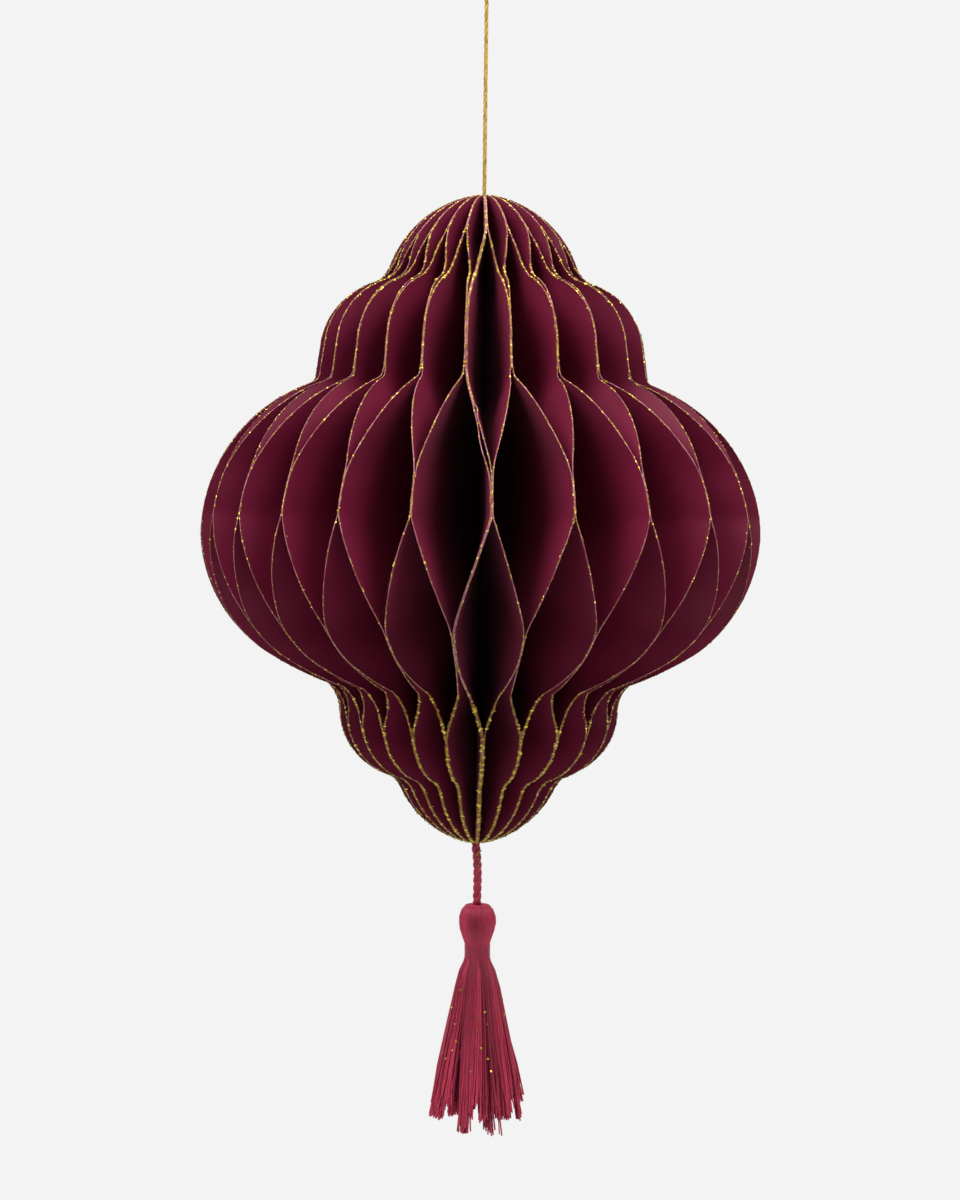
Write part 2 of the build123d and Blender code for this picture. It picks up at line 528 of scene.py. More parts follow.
@dataclass(frozen=True)
class OutlineArc:
    """One curved stretch of the die-cut outline, as radius and height."""

    start: Array
    end: Array
    swell: float

    def points(self, step: float) -> Array:
        """Gives points along the stretch, without its last one.

        Args:
            step: Distance between points, in metres.

        Returns:
            Radius and height of each point.
        """
        middle = (self.start + self.end) / 2
        half = np.linalg.norm(self.end - self.start) / 2
        along = (self.end - self.start) / (2 * half)
        outward = np.array((-along[1], along[0]))
        steps = max(2, round(2 * half / step))
        if self.swell == 0:
            return middle + np.outer(np.linspace(-1, 1, steps, endpoint=False) * half, along)
        radius = (half**2 + self.swell**2) / (2 * self.swell)
        reach = math.asin(half / abs(radius))
        angles = np.linspace(-reach, reach, steps, endpoint=False)
        center = middle - outward * (radius - self.swell)
        rise, run = radius * np.cos(angles), abs(radius) * np.sin(angles)
        return center + np.outer(rise, outward) + np.outer(run, along)


@dataclass(frozen=True)
class FreePanel:
    """Stretch of a leaf between two glue bands, where it crosses to the other neighbour.

    The heights are at the rim of the fan. The rounding is that of the bend at each end, the softening
    tells how much wider the upper bend is at the spine, and the bow how much a crease levels out
    towards the rim.
    """

    upper: float
    lower: float
    upper_rounding: float
    lower_rounding: float
    upper_bow: float = 1.0
    upper_softening: float = 0.0

    def crossing(self, height: Array, share: Array) -> Array:
        """Tells how far a leaf has crossed over.

        Args:
            height: Heights above the widest circle.
            share: Shares of the way from the spine to the rim.

        Returns:
            Shares of the crossing, 0 above the panel and 1 below it.
        """
        middle = (self.upper + self.lower) / 2
        top = middle + (self.upper - middle) * (1 - (1 - share) ** self.upper_bow)
        foot = middle + (self.lower - middle) * share
        span = top - foot
        bend = np.minimum(self.upper_rounding + self.upper_softening * (1 - share), span / 2)
        fall = np.minimum(self.lower_rounding, span / 2)
        return (self.soft_ramp(top - height, bend) - self.soft_ramp(foot - height, fall)) / span

    @staticmethod
    def soft_ramp(distance: Array, rounding: Array) -> Array:
        """Gives positive distances and 0 for negative ones, rounded where they meet."""
        eased = (distance + rounding) ** 2 / (4 * rounding)
        return np.where(distance < -rounding, 0, np.where(distance > rounding, distance, eased))


@dataclass(frozen=True)
class EdgeGold:
    """How the gold glitter lies on the leaf edges: where it sticks, and its bright and dull grains.

    The grains' lengths, widths and depths are those of their half axes. A breadth widens the grains at
    a height above the widest circle, in millimetres.
    """

    step: float = 0.22 * MM
    stray: float = 0.5
    base_cover: float = 0.76
    least_cover: float = 0.06
    patches: tuple[Range, ...] = ((23.0 * MM, 0.3), (9.0 * MM, 0.34), (4.1 * MM, 0.32), (1.9 * MM, 0.3))
    upper_tiers: float = 33.3 * MM
    lower_tiers: float = -31.6 * MM
    tier_cover: float = 0.32
    glued_turn: float = 0.93
    glued_cover: float = 0.22
    cap_crown: float = 65.0 * MM
    crown_wear: float = 0.7
    spark_share: float = 0.12
    inset: float = 0.05 * MM
    scatter: float = 0.05 * MM
    lean: float = 0.35
    look_back: float = 0.9 * MM
    length: Range = (0.12 * MM, 0.3 * MM)
    spark_width: Range = (0.15 * MM, 0.22 * MM)
    dull_width: float = 0.14 * MM
    spark_depth: Range = (0.1 * MM, 0.16 * MM)
    dull_depth: float = 0.07 * MM
    spark_tone: Range = (0.75, 1.0)
    dull_tone: Range = (0.0, 0.34)
    breadths: tuple[Range, ...] = (
        *((-33.0, 2.5), (-31.0, 1.0), (32.5, 1.0), (34.0, 1.2)),
        *((49.0, 1.2), (53.0, 1.75), (61.0, 1.65), (66.0, 1.0)),
    )

    def cover(self, source: Random, along: Array, height: Array, turn: Array) -> Array:
        """Tells how likely a grain sticks at each point of an edge.

        Args:
            source: Source of random numbers.
            along: Distances along the edge.
            height: Heights above the widest circle.
            turn: Which neighbour the leaf leans to, from 1 to -1.

        Returns:
            A share from 0 to 1 for each point.
        """
        phases = source.uniform(0, math.tau, len(self.patches))
        patches = sum(
            weight * np.sin(math.tau * along / length + phase)
            for (length, weight), phase in zip(self.patches, phases)
        )
        tiers = self.tier_cover * ((height > self.upper_tiers) | (height < self.lower_tiers))
        glued = self.glued_cover * (np.abs(turn) > self.glued_turn)
        worn = self.crown_wear * (height > self.cap_crown)
        return np.clip(self.base_cover + patches + tiers + glued - worn, self.least_cover, 1)


@dataclass(frozen=True)
class LeafPlace:
    """Where a leaf sits in the fan, and how much gold its edge has kept.

    The lift tells how far the leaf lies off the middle of its place, and the wear how far its rim is
    pushed to the right, at which height and over which reach. Only the two covers have them.
    """

    number: int
    place: int
    lift: float = 0.0
    wear: Point = (0.0, 0.0, MM)
    coat: EdgeCoat = EdgeCoat.GILDED


@dataclass
class FanOfLeaves:
    """The closed fan of folded paper leaves with gold on their edges.

    The outline goes down from the crown, and each of its stretches has the radius and height of its end
    and its swell, in millimetres. At the front seam the left cover gapes, and the right one has a small
    jag torn into it. Each wave of the sway has its weight, turns round the fan, rise for each radian and
    phase.
    """

    equator: float = -142.4 * MM
    rim_radius: float = 61.0 * MM
    leaf_places: int = 48
    paper: float = 0.18 * MM
    spine_land: float = 0.1 * MM
    fan_bias: float = 0.155
    seam_azimuth: float = math.radians(2.0)
    seam_gap: float = 0.06 * MM
    wear_power: int = 3
    gape: Point = (-0.95 * MM, 17.5 * MM, 4.4 * MM)
    jag: Point = (0.8 * MM, 25.3 * MM, 0.7 * MM)
    edge_step: float = 1.25 * MM
    fine_step: float = 0.0625 * MM
    crease_rows: tuple[float, ...] = (0.8 * MM, 0.4 * MM, -0.4 * MM, -0.8 * MM)
    columns: int = 9
    smooth_angle: float = math.radians(35)
    sway: float = 0.16 * MM
    sway_waves: tuple[tuple[float, int, float, float], ...] = (
        (1.0, 3, 9.0 * MM, 0.0),
        (0.8, 7, -14.0 * MM, 1.3),
        (0.6, 11, 5.5 * MM, 2.1),
    )
    seed: int = 11
    crown: float = 73.0
    outline: tuple[Point, ...] = (
        (20.3, 57.0, 3.8),
        (23.9, 53.5, -0.48),
        (34.6, 41.5, 2.2),
        (35.75, 33.6, 0),
        (37.0, 32.1, -0.28),
        (60.0, 0, 6.1),
        (47.55, -24.2, 3.1),
        (33.0, -31.7, 0.45),
        (30.2, -37.2, -0.61),
        (19.4, -51.7, 3.0),
        (16.9, -54.4, -0.26),
        (0, -67.1, 2.7),
    )
    upper_panels: tuple[FreePanel, ...] = (
        FreePanel(78.5 * MM, 38.8 * MM, 2.4 * MM, 2.6 * MM),
        FreePanel(38.4 * MM, 12.95 * MM, 3.2 * MM, 2.4 * MM),
    )
    creased_panel: FreePanel = FreePanel(4.45 * MM, -19.05 * MM, 0.35 * MM, 2.6 * MM, 2.0, 12.0 * MM)
    base_panel: FreePanel = FreePanel(-23.35 * MM, -46.2 * MM, 2.4 * MM, 2.2 * MM)
    gold: EdgeGold = EdgeGold()
    finishes: tuple[Finish, ...] = (PAPER, CUT_EDGE, GLITTER)

    def __post_init__(self) -> None:
        """Draws the outline and makes the materials that all leaves share."""
        self.random = np.random.default_rng(self.seed)
        ends = np.array(((0, self.crown, 0), *self.outline)) * MM
        arcs = [OutlineArc(start[:2], end[:2], end[2]) for start, end in zip(ends, ends[1:])]
        line = np.concatenate([arc.points(self.edge_step) for arc in arcs])
        fine = np.concatenate([arc.points(self.fine_step) for arc in arcs])[::-1]
        beside = np.array(self.crease_rows)
        extra = (self.creased_panel.upper + beside, self.jag[1] + beside)
        heights = np.unique(np.concatenate((line[1:, 1], *extra)))[::-1]
        self.edge = np.stack((np.interp(heights, fine[:, 1], fine[:, 0]), heights), axis=1)
        self.materials = [finish.material() for finish in self.finishes]

    def plane_azimuth(self, place: int) -> float:
        """Gives the azimuth of a glue plane, from the front towards the right."""
        even = self.seam_azimuth + place * math.tau / self.leaf_places
        return even + self.fan_bias * (1 - math.cos(even))

    def turn(self, radius: Array, height: Array, spine: float) -> Array:
        """Tells which neighbour a leaf leans to, from 1 to -1.

        Args:
            radius: Distances from the axis.
            height: Heights above the widest circle.
            spine: Radius where the leaves meet.

        Returns:
            The side at each point.
        """
        share = (radius - spine) / (self.rim_radius - spine)
        side = np.ones_like(radius)
        step = -2.0
        for panel in (*self.upper_panels, self.creased_panel, self.base_panel):
            side += step * panel.crossing(height, share)
            step = -step
        return side

    def drift(self, azimuth: Array, radius: Array, height: Array) -> Array:
        """Gives the small unevenness of a hand-opened fan, the same for leaves that touch.

        Args:
            azimuth: Angles round the axis.
            radius: Distances from the axis.
            height: Heights of the points.

        Returns:
            The sideways shift of each point in metres.
        """
        waves = sum(
            weight * np.sin(turns * azimuth + height / rise + phase)
            for weight, turns, rise, phase in self.sway_waves
        )
        return self.sway * waves * radius / self.rim_radius

    def sector(self, leaf: LeafPlace) -> tuple[float, float, float]:
        """Gives the middle and half angle of a leaf's place, and the radius where the leaves meet.

        Args:
            leaf: The leaf.

        Returns:
            The two angles in radians and the radius in metres.
        """
        start, end = self.plane_azimuth(leaf.place), self.plane_azimuth(leaf.place + 1)
        half = (end - start) / 2
        return (start + end) / 2, half, (abs(leaf.lift) + self.paper / 2) / math.sin(half)

    def leaf_surface(self, leaf: LeafPlace, radius: Array, height: Array) -> Array:
        """Places points of a leaf's middle surface.

        Args:
            leaf: The leaf.
            radius: Distances from the axis along the leaf.
            height: Heights above the widest circle.

        Returns:
            One row of coordinates for each point.
        """
        middle, half, spine = self.sector(leaf)
        lean = -1 if leaf.place % 2 == 0 else 1
        push, worn_height, reach = leaf.wear
        worn = push * (radius / self.rim_radius) ** self.wear_power
        across = lean * self.turn(radius, height, spine) * (radius - spine) * math.tan(half)
        across += leaf.lift / math.cos(half) + worn * np.exp(-(((height - worn_height) / reach) ** 2))
        across += self.drift(middle + np.arctan2(across, radius), radius, height)
        x = radius * math.sin(middle) + across * math.cos(middle)
        y = -radius * math.cos(middle) + across * math.sin(middle)
        return np.stack((x, y, height + self.equator), axis=1)

    def fold_leaf(self, leaf: LeafPlace) -> tuple[Piece, Array]:
        """Folds one sheet of paper.

        Args:
            leaf: The leaf.

        Returns:
            The folded sheet, and the line of its edge as radius and height.
        """
        inner = self.sector(leaf)[2] + self.spine_land
        edge = self.edge[self.edge[:, 0] > inner + self.paper]
        rows = len(edge) - 1
        select_nothing()
        bpy.ops.mesh.primitive_grid_add(x_subdivisions=self.columns, y_subdivisions=rows, size=1)
        sheet = bpy.context.object
        sheet.name = sheet.data.name = f"folded_leaf_{leaf.number:02d}"
        share = read_corners(sheet.data) + 0.5
        row = np.rint((1 - share[:, 1]) * rows).astype(int)
        radius = inner + (edge[row, 0] - inner) * share[:, 0]
        points = self.leaf_surface(leaf, radius, edge[row, 1])
        sheet.data.vertices.foreach_set("co", points.astype(np.float32).ravel())
        dress(sheet, *self.materials)
        shell = sheet.modifiers.new("paper", "SOLIDIFY")
        shell.thickness = self.paper
        shell.offset = 0
        shell.material_offset_rim = 1
        select_only(sheet)
        bpy.ops.object.modifier_apply(modifier=shell.name)
        bpy.ops.object.shade_smooth_by_angle(angle=self.smooth_angle)
        set_tone(sheet, np.zeros(len(sheet.data.vertices)))
        return sheet, edge

    def glitter(self, leaf: LeafPlace, edge: Array) -> Piece:
        """Sticks gold grains along a leaf's edge.

        Args:
            leaf: The leaf.
            edge: Radius and height of the edge's points.

        Returns:
            The grains as one object.
        """
        gold, source = self.gold, self.random
        along = run_length(edge)
        spots = np.arange(0, along[-1], gold.step)
        spots = spots + source.uniform(-gold.stray, gold.stray, len(spots)) * gold.step
        spots = np.clip(spots, 0, along[-1] - self.paper)
        height = np.interp(spots, along, edge[:, 1])
        turn = self.turn(np.interp(height, edge[::-1, 1], edge[::-1, 0]), height, 0)
        chance = source.random(len(spots))
        spots = spots[chance < gold.cover(source, spots, height, turn) * leaf.coat.value]
        count = len(spots)
        inset = source.exponential(gold.inset, count)
        radius, height = (np.interp(spots, along, column) for column in edge.T)
        ahead = self.leaf_surface(leaf, *(np.interp(spots + self.paper, along, column) for column in edge.T))
        center = self.leaf_surface(leaf, radius - inset, height)
        run = unit(ahead - self.leaf_surface(leaf, radius, height))
        out = unit(center - self.leaf_surface(leaf, radius - gold.look_back, height))
        side = unit(np.cross(run, out))
        side = unit(side + source.normal(0, gold.lean, (count, 3)))
        out = unit(np.cross(side, run))
        run = np.cross(out, side)
        center = center + side * source.normal(0, gold.scatter, (count, 1))
        spark = source.random((count, 1)) < gold.spark_share
        length = source.uniform(*gold.length, (count, 1))
        width = np.where(spark, source.uniform(*gold.spark_width, (count, 1)), gold.dull_width)
        depth = np.where(spark, source.uniform(*gold.spark_depth, (count, 1)), gold.dull_depth)
        bright, dull = source.uniform(*gold.spark_tone, count), source.uniform(*gold.dull_tone, count)
        broad = np.interp(height / MM, *zip(*gold.breadths))[:, None]
        axes = (run * length, side * width * broad, out * depth)
        shade = np.where(spark[:, 0], bright, dull)
        grains = scatter_grains(f"leaf_{leaf.number:02d}_glitter", center, axes, shade)
        dress(grains, *self.materials, gilded=True)
        return grains

    def build(self) -> None:
        """Builds all leaves, the two covers of the closed fan first."""
        cover = (self.seam_gap + self.paper) / 2
        right = LeafPlace(1, -1, cover, self.jag)
        left = LeafPlace(self.leaf_places + 1, -1, -cover, self.gape, EdgeCoat.WORN)
        inner = [LeafPlace(place + 2, place) for place in range(self.leaf_places - 1)]
        for leaf in (right, left, *inner):
            sheet, edge = self.fold_leaf(leaf)
            join_pieces(sheet, self.glitter(leaf, edge))
            mount(sheet, "paper", f"leaf_{leaf.number:02d}")


@dataclass(frozen=True)
class Yarn:
    """Plies twisted round each other, every second one a little lighter."""

    diameter: float
    plies: int
    pitch: float
    ply_share: float
    sides: int = 8
    tone: float = 0.45
    ply_contrast: float = 0.2

    def twist(self, name: str, line: Array) -> Piece:
        """Winds the plies round a line.

        Args:
            name: Name of the new piece.
            line: Points that the yarn follows, one row each.

        Returns:
            The yarn as a closed mesh, with coordinates around and along each ply.
        """
        along, first, second = self.frames(line)
        thickness = self.ply_share * self.diameter
        offset = self.diameter / 2 - thickness
        rows = len(line) - 1
        here = np.arange(self.sides)
        there = (here + 1) % self.sides
        ring = math.tau * here[None, :, None] / self.sides
        row = np.arange(rows)[:, None] * self.sides
        ahead = row + self.sides
        quads = np.stack((row + here, row + there, ahead + there, ahead + here), axis=2).reshape(-1, 4)
        left = np.tile(here, rows) / self.sides
        right = left + 1 / self.sides
        points, faces, wind, tones = [], [], [], []
        for ply in range(self.plies):
            phase = math.tau * (ply / self.plies + along / self.pitch)[:, None]
            center = line + offset * (np.cos(phase) * first + np.sin(phase) * second)
            ply_along, ply_first, ply_second = self.frames(center)
            around = np.cos(ring) * ply_first[:, None] + np.sin(ring) * ply_second[:, None]
            points.append((center[:, None] + thickness * around).reshape(-1, 3))
            tones.append(np.full(len(points[-1]), self.tone + self.ply_contrast * (ply % 2)))
            base = ply * len(points[-1])
            last = base + rows * self.sides
            faces += (quads + base).tolist()
            faces.append(list(range(base + self.sides - 1, base - 1, -1)))
            faces.append(list(range(last, last + self.sides)))
            start, stop = np.repeat(ply_along[:-1], self.sides), np.repeat(ply_along[1:], self.sides)
            corners = np.stack((left, start, right, start, right, stop, left, stop), axis=1)
            wind += [corners.reshape(-1, 2), np.zeros((2 * self.sides, 2))]
        piece = mesh_piece(name, np.concatenate(points), faces)
        layer = piece.data.uv_layers.new(name=WIND_LAYER)
        layer.data.foreach_set("uv", np.concatenate(wind).astype(np.float32).ravel())
        set_tone(piece, np.concatenate(tones))
        return piece

    @staticmethod
    def frames(line: Array, steep: float = 0.9) -> tuple[Array, Array, Array]:
        """Carries two crosswise directions along a line without twisting them.

        Args:
            line: Points of the line, one row each.
            steep: How much of the first heading may lie along y before x is taken in its place.

        Returns:
            Distances along the line, and the two directions at each point.
        """
        heading = unit(np.gradient(line, axis=0))
        start = np.cross(heading[0], (0, 1, 0) if abs(heading[0][1]) < steep else (1, 0, 0))
        first = [start / np.linalg.norm(start)]
        for direction in heading[1:]:
            carried = first[-1] - direction * np.dot(first[-1], direction)
            first.append(carried / np.linalg.norm(carried))
        return run_length(line), np.array(first), np.cross(heading, np.array(first))


@dataclass
class HangingCord:
    """The gold cord that carries the ornament, with its knot and loop.

    The half loop goes up the right side, in places across and heights in millimetres.
    """

    diameter: float = 0.9 * MM
    foot: float = -91.4 * MM
    exit_height: float = -69.4 * MM
    knot_base: float = -24.4 * MM
    knot_top: float = -20.0 * MM
    knot_width: float = 3.2 * MM
    knot_controls: int = 12
    length: float = 67.0 * MM
    loop_length: float = 48.0 * MM
    leg: float = 0.55 * MM
    cord_steps: int = 160
    loop_steps: int = 24
    knot_steps: int = 12
    half_loop: tuple[Range, ...] = ((0.55, -20.0), (0.55, -16.0), (4.95, -9.0), (4.2, 0.45))
    finish: Finish = METAL_YARN

    def __post_init__(self) -> None:
        """Chooses the yarn that cord, loop and knot are made of."""
        self.yarn = Yarn(self.diameter, plies=3, pitch=5.0 * MM, ply_share=0.33)

    def build(self) -> None:
        """Builds the cord, its knot and its loop."""
        gold = self.finish.material()
        straight = [(0, 0, height) for height in (self.foot, self.exit_height, self.knot_base)]
        line = smooth_line(straight, self.cord_steps)
        cord = self.yarn.twist("gold_cord", line)
        route = [(-x, z) for x, z in self.half_loop] + list(reversed(self.half_loop))
        loop_line = smooth_line([(x * MM, 0, z * MM) for x, z in route], self.loop_steps)
        loop = self.yarn.twist("gold_loop", loop_line)
        knot = self.knot()
        for piece, node in ((cord, "hanging_cord"), (loop, "hanging_loop"), (knot, "loop_knot")):
            dress(piece, gold)
            mount(piece, "gold_cord", node)

    def knot(self) -> Piece:
        """Ties the overhand knot, a trefoil drawn tight between the heights of its base and top.

        Returns:
            The knot.
        """
        angles = np.linspace(0, math.tau, self.knot_controls, endpoint=False)
        across = np.sin(angles) + 2 * np.sin(2 * angles)
        through = -np.sin(3 * angles)
        upward = np.cos(angles) - 2 * np.cos(2 * angles)
        shape = np.stack((across / 3, through, upward / 3), axis=1)
        room = np.array((self.knot_width, self.knot_width, self.knot_top - self.knot_base)) - self.diameter
        shape = shape * room / 2 + np.array((0, 0, (self.knot_top + self.knot_base) / 2))
        line = smooth_line([tuple(point) for point in shape], self.knot_steps, closed=True)
        return self.yarn.twist("gold_knot", np.vstack((line, line[:1])))


@dataclass(frozen=True)
class Lock:
    """Threads of the skirt that lean, clump and are cut together, in one shade."""

    azimuth: float
    cut: float
    lean: float
    tone: float
    clump: float


@dataclass
class Tassel:
    """The thread tassel on its twisted cord.

    The profile gives the bundle's radius at depths below the top of the head, and a gap in the hem has
    its place across, its half width and how much shorter its threads are, all in millimetres. Strays are
    spreads of chance.
    """

    cord_diameter: float = 1.95 * MM
    cord_pitch: float = 3.4 * MM
    cord_top: float = -195.5 * MM
    cord_sway: tuple[float, ...] = (0, 0, 0, -0.3 * MM, 0.25 * MM, 0.3 * MM, 0.2 * MM)
    cord_steps: int = 16
    head_top: float = -222.9 * MM
    head_base: float = -231.4 * MM
    band_base: float = -234.8 * MM
    hem: float = -272.2 * MM
    band_radius: float = 2.8 * MM
    band_turns: int = 11
    band_steps: int = 20
    band_overlap: float = 1.25
    head_shift: float = 0.35 * MM
    hem_shift: float = 0.7 * MM
    seed: int = 5
    threads: int = 1400
    thread_radius: float = 0.17 * MM
    thread_stray: float = 0.02
    outer_share: float = 0.6
    outer_depth: Range = (0.9, 1.0)
    inner_depth: Range = (0.1, 0.8)
    wander: float = 0.01
    spread_stray: float = 0.02
    tone_stray: float = 0.07
    locks: int = 22
    lock_place: Range = (0.25, 0.75)
    lock_cut: Range = (0, 4.4 * MM)
    side_cut: float = 2.0 * MM
    lock_lean: float = 0.08
    lock_tone: Range = (0.0, 0.9)
    lock_clump: Range = (0.15, 0.7)
    fray: float = 0.9 * MM
    fray_limit: float = 4.0 * MM
    gap_depth: Range = (0.75, 1.0)
    end_bend: float = 0.95
    end_stray: float = 0.04
    end_flare: Range = (0.97, 1.05)
    # Painted light and shade on the threads: the head is painted lighter than the skirt, with a painted shade
    # patch on its front, and the skirt is painted darker under the band and lighter towards the hem, where
    # the pale backdrop shows through the thin ends.
    head_tone: float = 0.84
    head_contrast: float = 0.25
    painted_shade_drop: float = 3.4 * MM
    painted_shade_size: Range = (1.2 * MM, 2.2 * MM)
    painted_shade_strength: float = 0.75
    skirt_tone: float = -0.14
    painted_hem_light: float = 0.6
    speck_size: Range = (0.22 * MM, 0.46 * MM)
    speck_tone: Range = (0.0, 0.6)
    skirt_specks: int = 36
    skirt_speck_drop: Range = (16.0 * MM, 36.0 * MM)
    cord_specks: int = 12
    cord_speck_drop: Range = (15.5 * MM, 19.5 * MM)
    cord_speck_azimuth: Range = (0.0, 1.6)
    cord_speck_reach: float = 0.4
    hem_gaps: tuple[Point, ...] = ((-6.5, 0.5, 2.6), (-0.6, 1.2, 3.8), (4.2, 0.7, 5.0), (8.2, 0.6, 4.5))
    head_profile: tuple[Range, ...] = (
        *((0.8, 0.1), (2.0, -0.1), (3.0, 0.5), (3.65, 1.8), (3.95, 3.4)),
        *((3.8, 4.8), (3.4, 6.2), (2.7, 7.9), (2.35, 9.0), (2.4, 11.9)),
    )
    skirt_profile: tuple[Range, ...] = ((3.3, 13.0), (4.4, 16.0), (5.15, 20.0), (7.35, 30.5), (9.9, 42.0))

    def __post_init__(self) -> None:
        """Reads the profile, and how far each of its depths is down the skirt."""
        self.radii, self.drops = np.array(self.head_profile + self.skirt_profile).T * MM
        waist = self.skirt_profile[0][1] * MM
        self.fall = np.clip((self.drops - waist) / (self.drops[-1] - waist), 0, 1)

    def build(self) -> None:
        """Builds the cord, the threads and the band round their neck."""
        cord, bundle, band = self.twisted_cord(), self.bundle(), self.band()
        silk = SILK.material()
        cord_silk = replace(SILK, name="tassel_cord_silk").material()
        gold = GLITTER.material()
        dress(band, silk)
        for piece, thread, specks in ((bundle, silk, self.skirt_gold()), (cord, cord_silk, self.cord_gold())):
            dress(piece, thread, gold)
            dress(specks, thread, gold, gilded=True)
            join_pieces(piece, specks)
        mount(cord, "tassel_cord", "tassel_cord")
        mount(bundle, "tassel_thread", "tassel_threads")
        mount(band, "tassel_thread", "tassel_band")

    def shift(self, height: Array) -> Array:
        """Gives how far the tassel hangs to the right at each height."""
        return np.interp(height, (self.hem, self.head_top), (self.hem_shift, self.head_shift))

    def twisted_cord(self) -> Piece:
        """Twists the short cord that carries the tassel, a little bent where it leaves the fan.

        Returns:
            The cord.
        """
        drop = (self.cord_top - self.head_top) / (len(self.cord_sway) - 1)
        route = [(bend, 0, self.cord_top - drop * step) for step, bend in enumerate(self.cord_sway)]
        yarn = Yarn(self.cord_diameter, plies=2, pitch=self.cord_pitch, ply_share=0.36, sides=10, tone=0.6)
        return yarn.twist("raspberry_cord", smooth_line(route, self.cord_steps))

    def gather_locks(self, source: Random) -> list[Lock]:
        """Parts the skirt into locks.

        Args:
            source: Source of the random draws.

        Returns:
            The locks in their order round the skirt.
        """
        places = np.arange(self.locks) + source.uniform(*self.lock_place, self.locks)
        azimuth = math.tau * places / self.locks
        cut = source.uniform(*self.lock_cut, self.locks) + self.side_cut * np.sin(azimuth) ** 2
        lean = source.normal(0, self.lock_lean, self.locks)
        tone = source.uniform(*self.lock_tone, self.locks)
        clump = source.uniform(*self.lock_clump, self.locks)
        return [Lock(*row) for row in zip(azimuth, cut, lean, tone, clump)]

    def thread(self, source: Random, number: int, locks: list[Lock]) -> tuple[list[Point], float]:
        """Lays one thread over the head, through the neck and down the skirt.

        Args:
            source: Source of random numbers.
            number: Number of the thread, counted round the tassel.
            locks: The locks of the skirt.

        Returns:
            The thread's control points and its shade.
        """
        azimuth = math.tau * number / self.threads + source.normal(0, self.thread_stray)
        lock = locks[int(azimuth / math.tau * self.locks) % self.locks]
        outer = source.random() < self.outer_share
        depth = source.uniform(*self.outer_depth) if outer else math.sqrt(source.uniform(*self.inner_depth))
        frayed = min(source.exponential(self.fray), self.fray_limit)
        pull = lock.lean + (lock.azimuth - azimuth) * lock.clump
        around = azimuth + pull * self.fall**2
        around = around + np.cumsum(source.normal(0, self.wander, len(self.drops)))
        spread = self.radii * depth * (1 + source.normal(0, self.spread_stray, len(self.drops)))
        across = spread[-1] * math.sin(around[-1]) / MM
        gap = sum(cut for middle, half, cut in self.hem_gaps if abs(across - middle) < half)
        reach = self.head_top - self.hem - lock.cut - frayed
        reach -= gap * source.uniform(*self.gap_depth) * MM
        around = np.append(around, around[-1] + source.normal(0, self.end_stray))
        spread = np.append(spread, spread[-1] * source.uniform(*self.end_flare))
        height = self.head_top - np.append(self.drops[:-1], (reach * self.end_bend, reach))
        x, y = spread * np.sin(around) + self.shift(height), -spread * np.cos(around)
        return list(zip(x, y, height)), np.clip(lock.tone + source.normal(0, self.tone_stray), 0, 1)

    def bundle(self) -> Piece:
        """Bundles the threads of the head and the skirt.

        Returns:
            The threads as one mesh.
        """
        source = np.random.default_rng(self.seed)
        data = bpy.data.curves.new("tassel_bundle", "CURVE")
        data.dimensions = "3D"
        data.resolution_u = 1
        data.bevel_depth = self.thread_radius
        data.bevel_resolution = 0
        data.use_fill_caps = True
        locks = self.gather_locks(source)
        tones = []
        for number in range(self.threads):
            route, tone = self.thread(source, number, locks)
            add_spline(data, route)
            tones.append(tone)
        select_only(add_object("tassel_bundle", data))
        bpy.ops.object.convert(target="MESH")
        bundle = bpy.context.object
        corners = read_corners(bundle.data)
        set_tone(bundle, self.shade(corners, np.repeat(tones, len(corners) // self.threads)))
        return bundle

    def shade(self, corners: Array, strand: Array) -> Array:
        """Shades the threads with painted light on the head and hem, and painted shade on the head's front.

        Args:
            corners: Corners of the threads.
            strand: Shade of the thread that each corner belongs to.

        Returns:
            The shade of each corner.
        """
        across, height = corners[:, 0], corners[:, 2]
        wide, tall = self.painted_shade_size
        # Painted shade: a dark patch on the front of the head.
        painted_shade = np.exp(-((across / wide) ** 2) - ((self.head_top - height - self.painted_shade_drop) / tall) ** 2)
        # Painted light: the head lighter than the skirt, less the painted shade patch.
        head = self.head_tone + self.head_contrast * (strand - 0.5) - self.painted_shade_strength * painted_shade
        fall = np.clip((self.band_base - height) / (self.band_base - self.hem), 0, 1)
        # Painted light: the skirt darker under the band and lighter towards the hem, for the backdrop seen
        # through its thin ends.
        return np.where(height < self.band_base, strand + self.skirt_tone + self.painted_hem_light * fall**2, head)

    def specks(self, name: str, place: Array) -> Piece:
        """Makes gold specks that fell from the leaves, each turned its own way.

        Args:
            name: Name of the new object.
            place: Where they stick, one row each.

        Returns:
            The specks as one object.
        """
        source = np.random.default_rng(self.seed)
        count = len(place)
        run, side = unit(source.normal(0, 1, (count, 3))), unit(source.normal(0, 1, (count, 3)))
        out = unit(np.cross(run, side))
        sizes = source.uniform(*self.speck_size, (3, count, 1))
        axes = (run * sizes[0], np.cross(out, run) * sizes[1], out * sizes[2])
        return scatter_grains(name, place, axes, source.uniform(*self.speck_tone, count))

    def skirt_gold(self) -> Piece:
        """Scatters gold specks on the skirt.

        Returns:
            The specks as one mesh.
        """
        source = np.random.default_rng(self.seed)
        azimuth = source.uniform(0, math.tau, self.skirt_specks)
        drop = source.uniform(*self.skirt_speck_drop, self.skirt_specks)
        radius = np.interp(drop, self.drops, self.radii) + self.thread_radius
        height = self.head_top - drop
        x = radius * np.sin(azimuth) + self.shift(height)
        return self.specks("skirt_gold", np.stack((x, -radius * np.cos(azimuth), height), axis=1))

